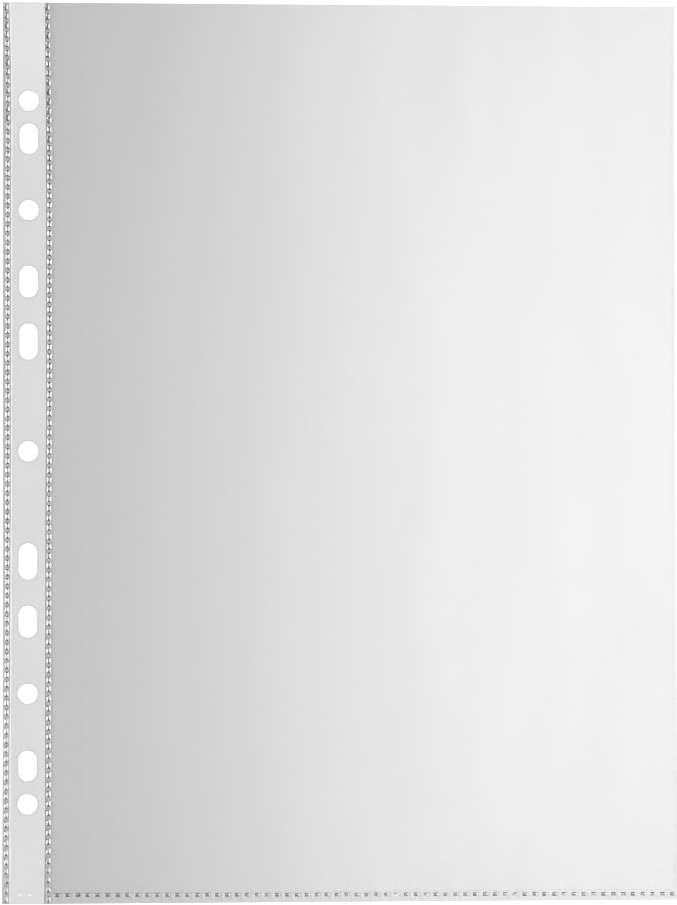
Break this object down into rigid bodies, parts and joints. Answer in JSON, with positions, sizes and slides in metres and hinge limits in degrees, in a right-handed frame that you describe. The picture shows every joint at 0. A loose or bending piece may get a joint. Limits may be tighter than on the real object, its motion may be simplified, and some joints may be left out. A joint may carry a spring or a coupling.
{
  "type": "sheet protector",
  "caption": "Flat clear film pocket with an open mouth, a folded edge, dotted weld seams and a punched, reinforced binding margin that holds paper sheets in a ring binder.",
  "frame": {"origin": "centre of the page, on the plane that its back lies on", "axes": "+X from the binding margin to the fold, +Y from the hem to the open mouth, +Z out of the front"},
  "size_m": [0.2304, 0.3076, 0.0004],
  "materials": {
    "clear_film": "clear gloss",
    "pressed_film": "heat sealed",
    "white_strip": "milky satin"
  },
  "bodies": {
    "binding_margin": {"margin_back_film": "clear_film", "binding_strip": "white_strip", "margin_front_film": "clear_film", "outer_weld": "pressed_film", "inner_weld": "pressed_film"},
    "pocket": {"back_film": "clear_film", "fold_edge": "clear_film", "bottom_weld": "pressed_film"},
    "front": {"front_film": "clear_film"}
  },
  "joints": [
    {"name": "page_turn", "type": "hinge", "parent": "binding_margin", "child": "pocket", "pos_m": [-0.09825, 0, 0.0004], "axis": [0, -1, 0], "range_deg": [0, 90]},
    {"name": "mouth_open", "type": "hinge", "parent": "pocket", "child": "front", "pos_m": [0.0085, -0.15015, 0.0004], "axis": [1, 0, 0], "range_deg": [0, 6], "stiffness_Nm_per_rad": 0.05}
  ]
}
